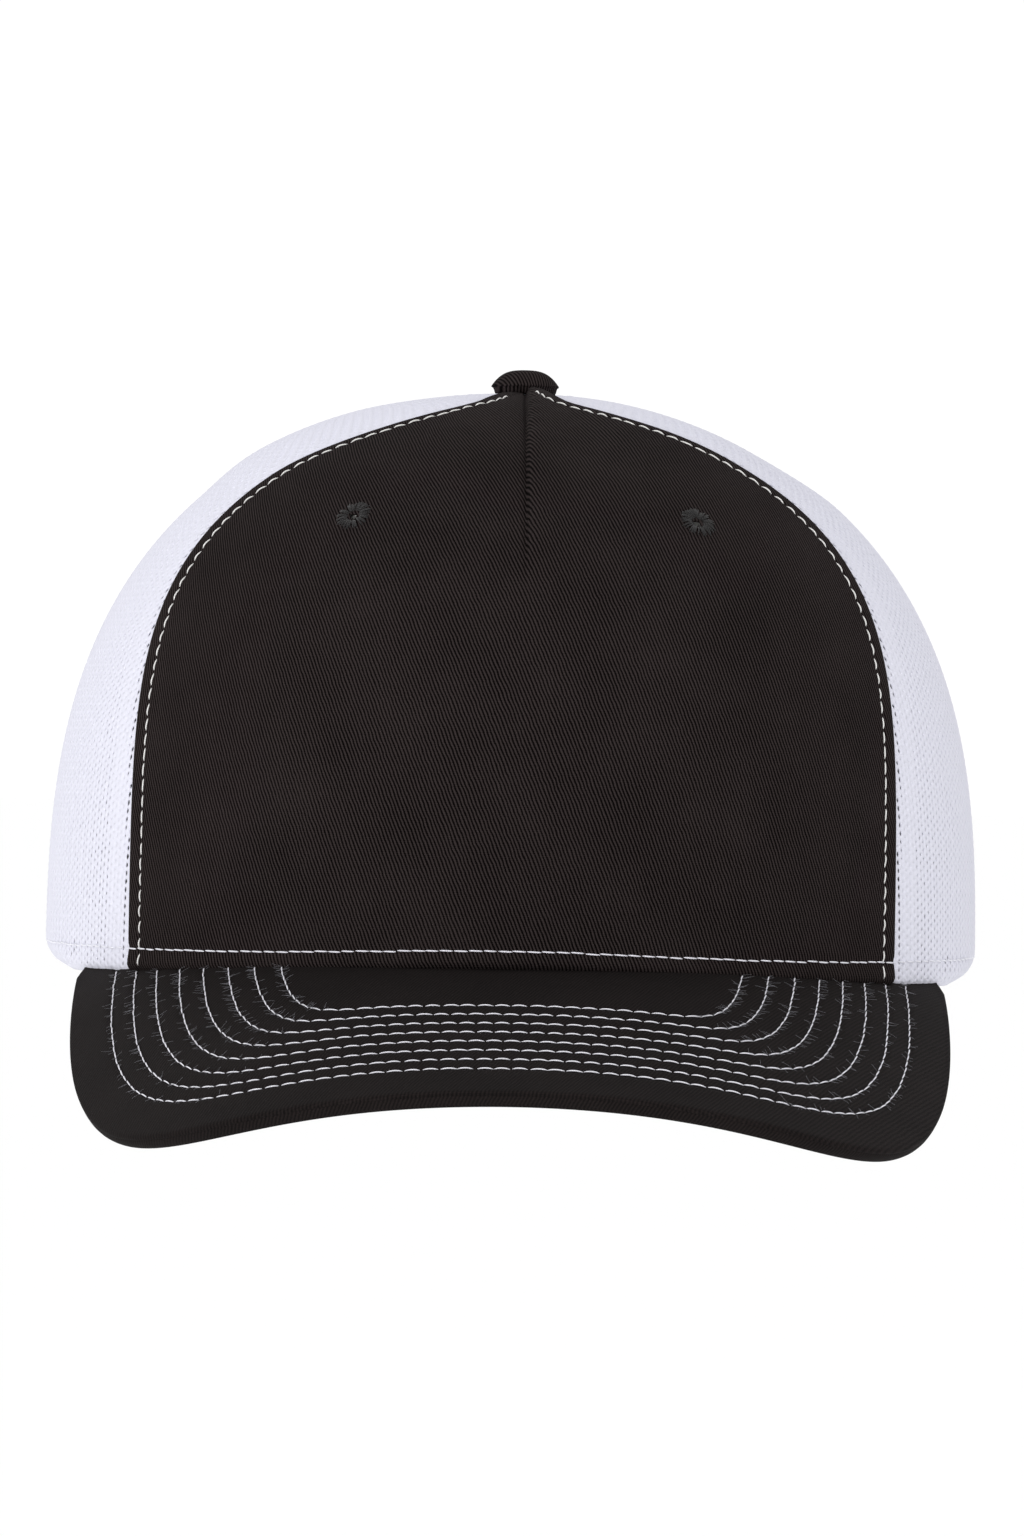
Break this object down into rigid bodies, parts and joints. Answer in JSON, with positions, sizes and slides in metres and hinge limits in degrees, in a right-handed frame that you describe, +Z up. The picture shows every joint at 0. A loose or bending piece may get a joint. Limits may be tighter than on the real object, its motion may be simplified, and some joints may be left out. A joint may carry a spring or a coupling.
{
  "type": "trucker mesh cap",
  "caption": "Mesh-back cap with a stiffened twill front, curved stitched visor, covered button, sweatband, seam tapes and a snap strap that unfastens.",
  "frame": {"origin": "centre of the head opening, in the plane of the crown's rim at the front and back; the rim dips about 2 mm at the sides", "axes": "+Z up out of the top of the crown, -Y forwards along the visor, +X towards the wearer's left"},
  "size_m": [0.1952, 0.2635, 0.1585],
  "materials": {
    "black_twill": "matte cotton twill",
    "white_mesh": "knitted polyester mesh",
    "white_lining": "woven tape, stiffened buckram and sweatband cloth",
    "strap_plastic": "moulded flexible plastic",
    "visor_board": "moulded sheet",
    "button_steel": "plated steel"
  },
  "bodies": {
    "cap": {"front_panel": "black_twill", "front_buckram": "white_lining", "side_mesh_left": "white_mesh", "rear_mesh_left": "white_mesh", "side_mesh_right": "white_mesh", "rear_mesh_right": "white_mesh", "front_seam_tape_left": "white_lining", "front_seam_tape_right": "white_lining", "side_seam_tape_left": "white_lining", "side_seam_tape_right": "white_lining", "rear_seam_tape": "white_lining", "dart_tape": "white_lining", "sweatband": "white_lining", "rear_opening_binding": "white_mesh", "eyelet_left": "black_twill", "eyelet_right": "black_twill", "button_cover": "black_twill", "button_shell": "button_steel", "button_rivet": "button_steel", "button_washer": "button_steel", "visor_top_cover": "black_twill", "visor_board": "visor_board", "visor_under_cover": "black_twill", "visor_edge_band": "black_twill", "hole_strap_sewn_end": "strap_plastic", "peg_strap_sewn_end": "strap_plastic"},
    "hole_strap_half": {"hole_strap": "strap_plastic"},
    "peg_strap_half": {"peg_strap": "strap_plastic"}
  },
  "joints": [
    {"name": "hole_strap_swing", "type": "hinge", "parent": "cap", "child": "hole_strap_half", "pos_m": [0.03594, 0.08807, 0.0108], "axis": [0, 0, -1], "range_deg": [0, 60], "stiffness_Nm_per_rad": 0.04},
    {"name": "peg_strap_swing", "type": "hinge", "parent": "cap", "child": "peg_strap_half", "pos_m": [-0.03594, 0.08807, 0.0108], "axis": [0, 0, -1], "range_deg": [0, 60], "stiffness_Nm_per_rad": 0.04}
  ]
}
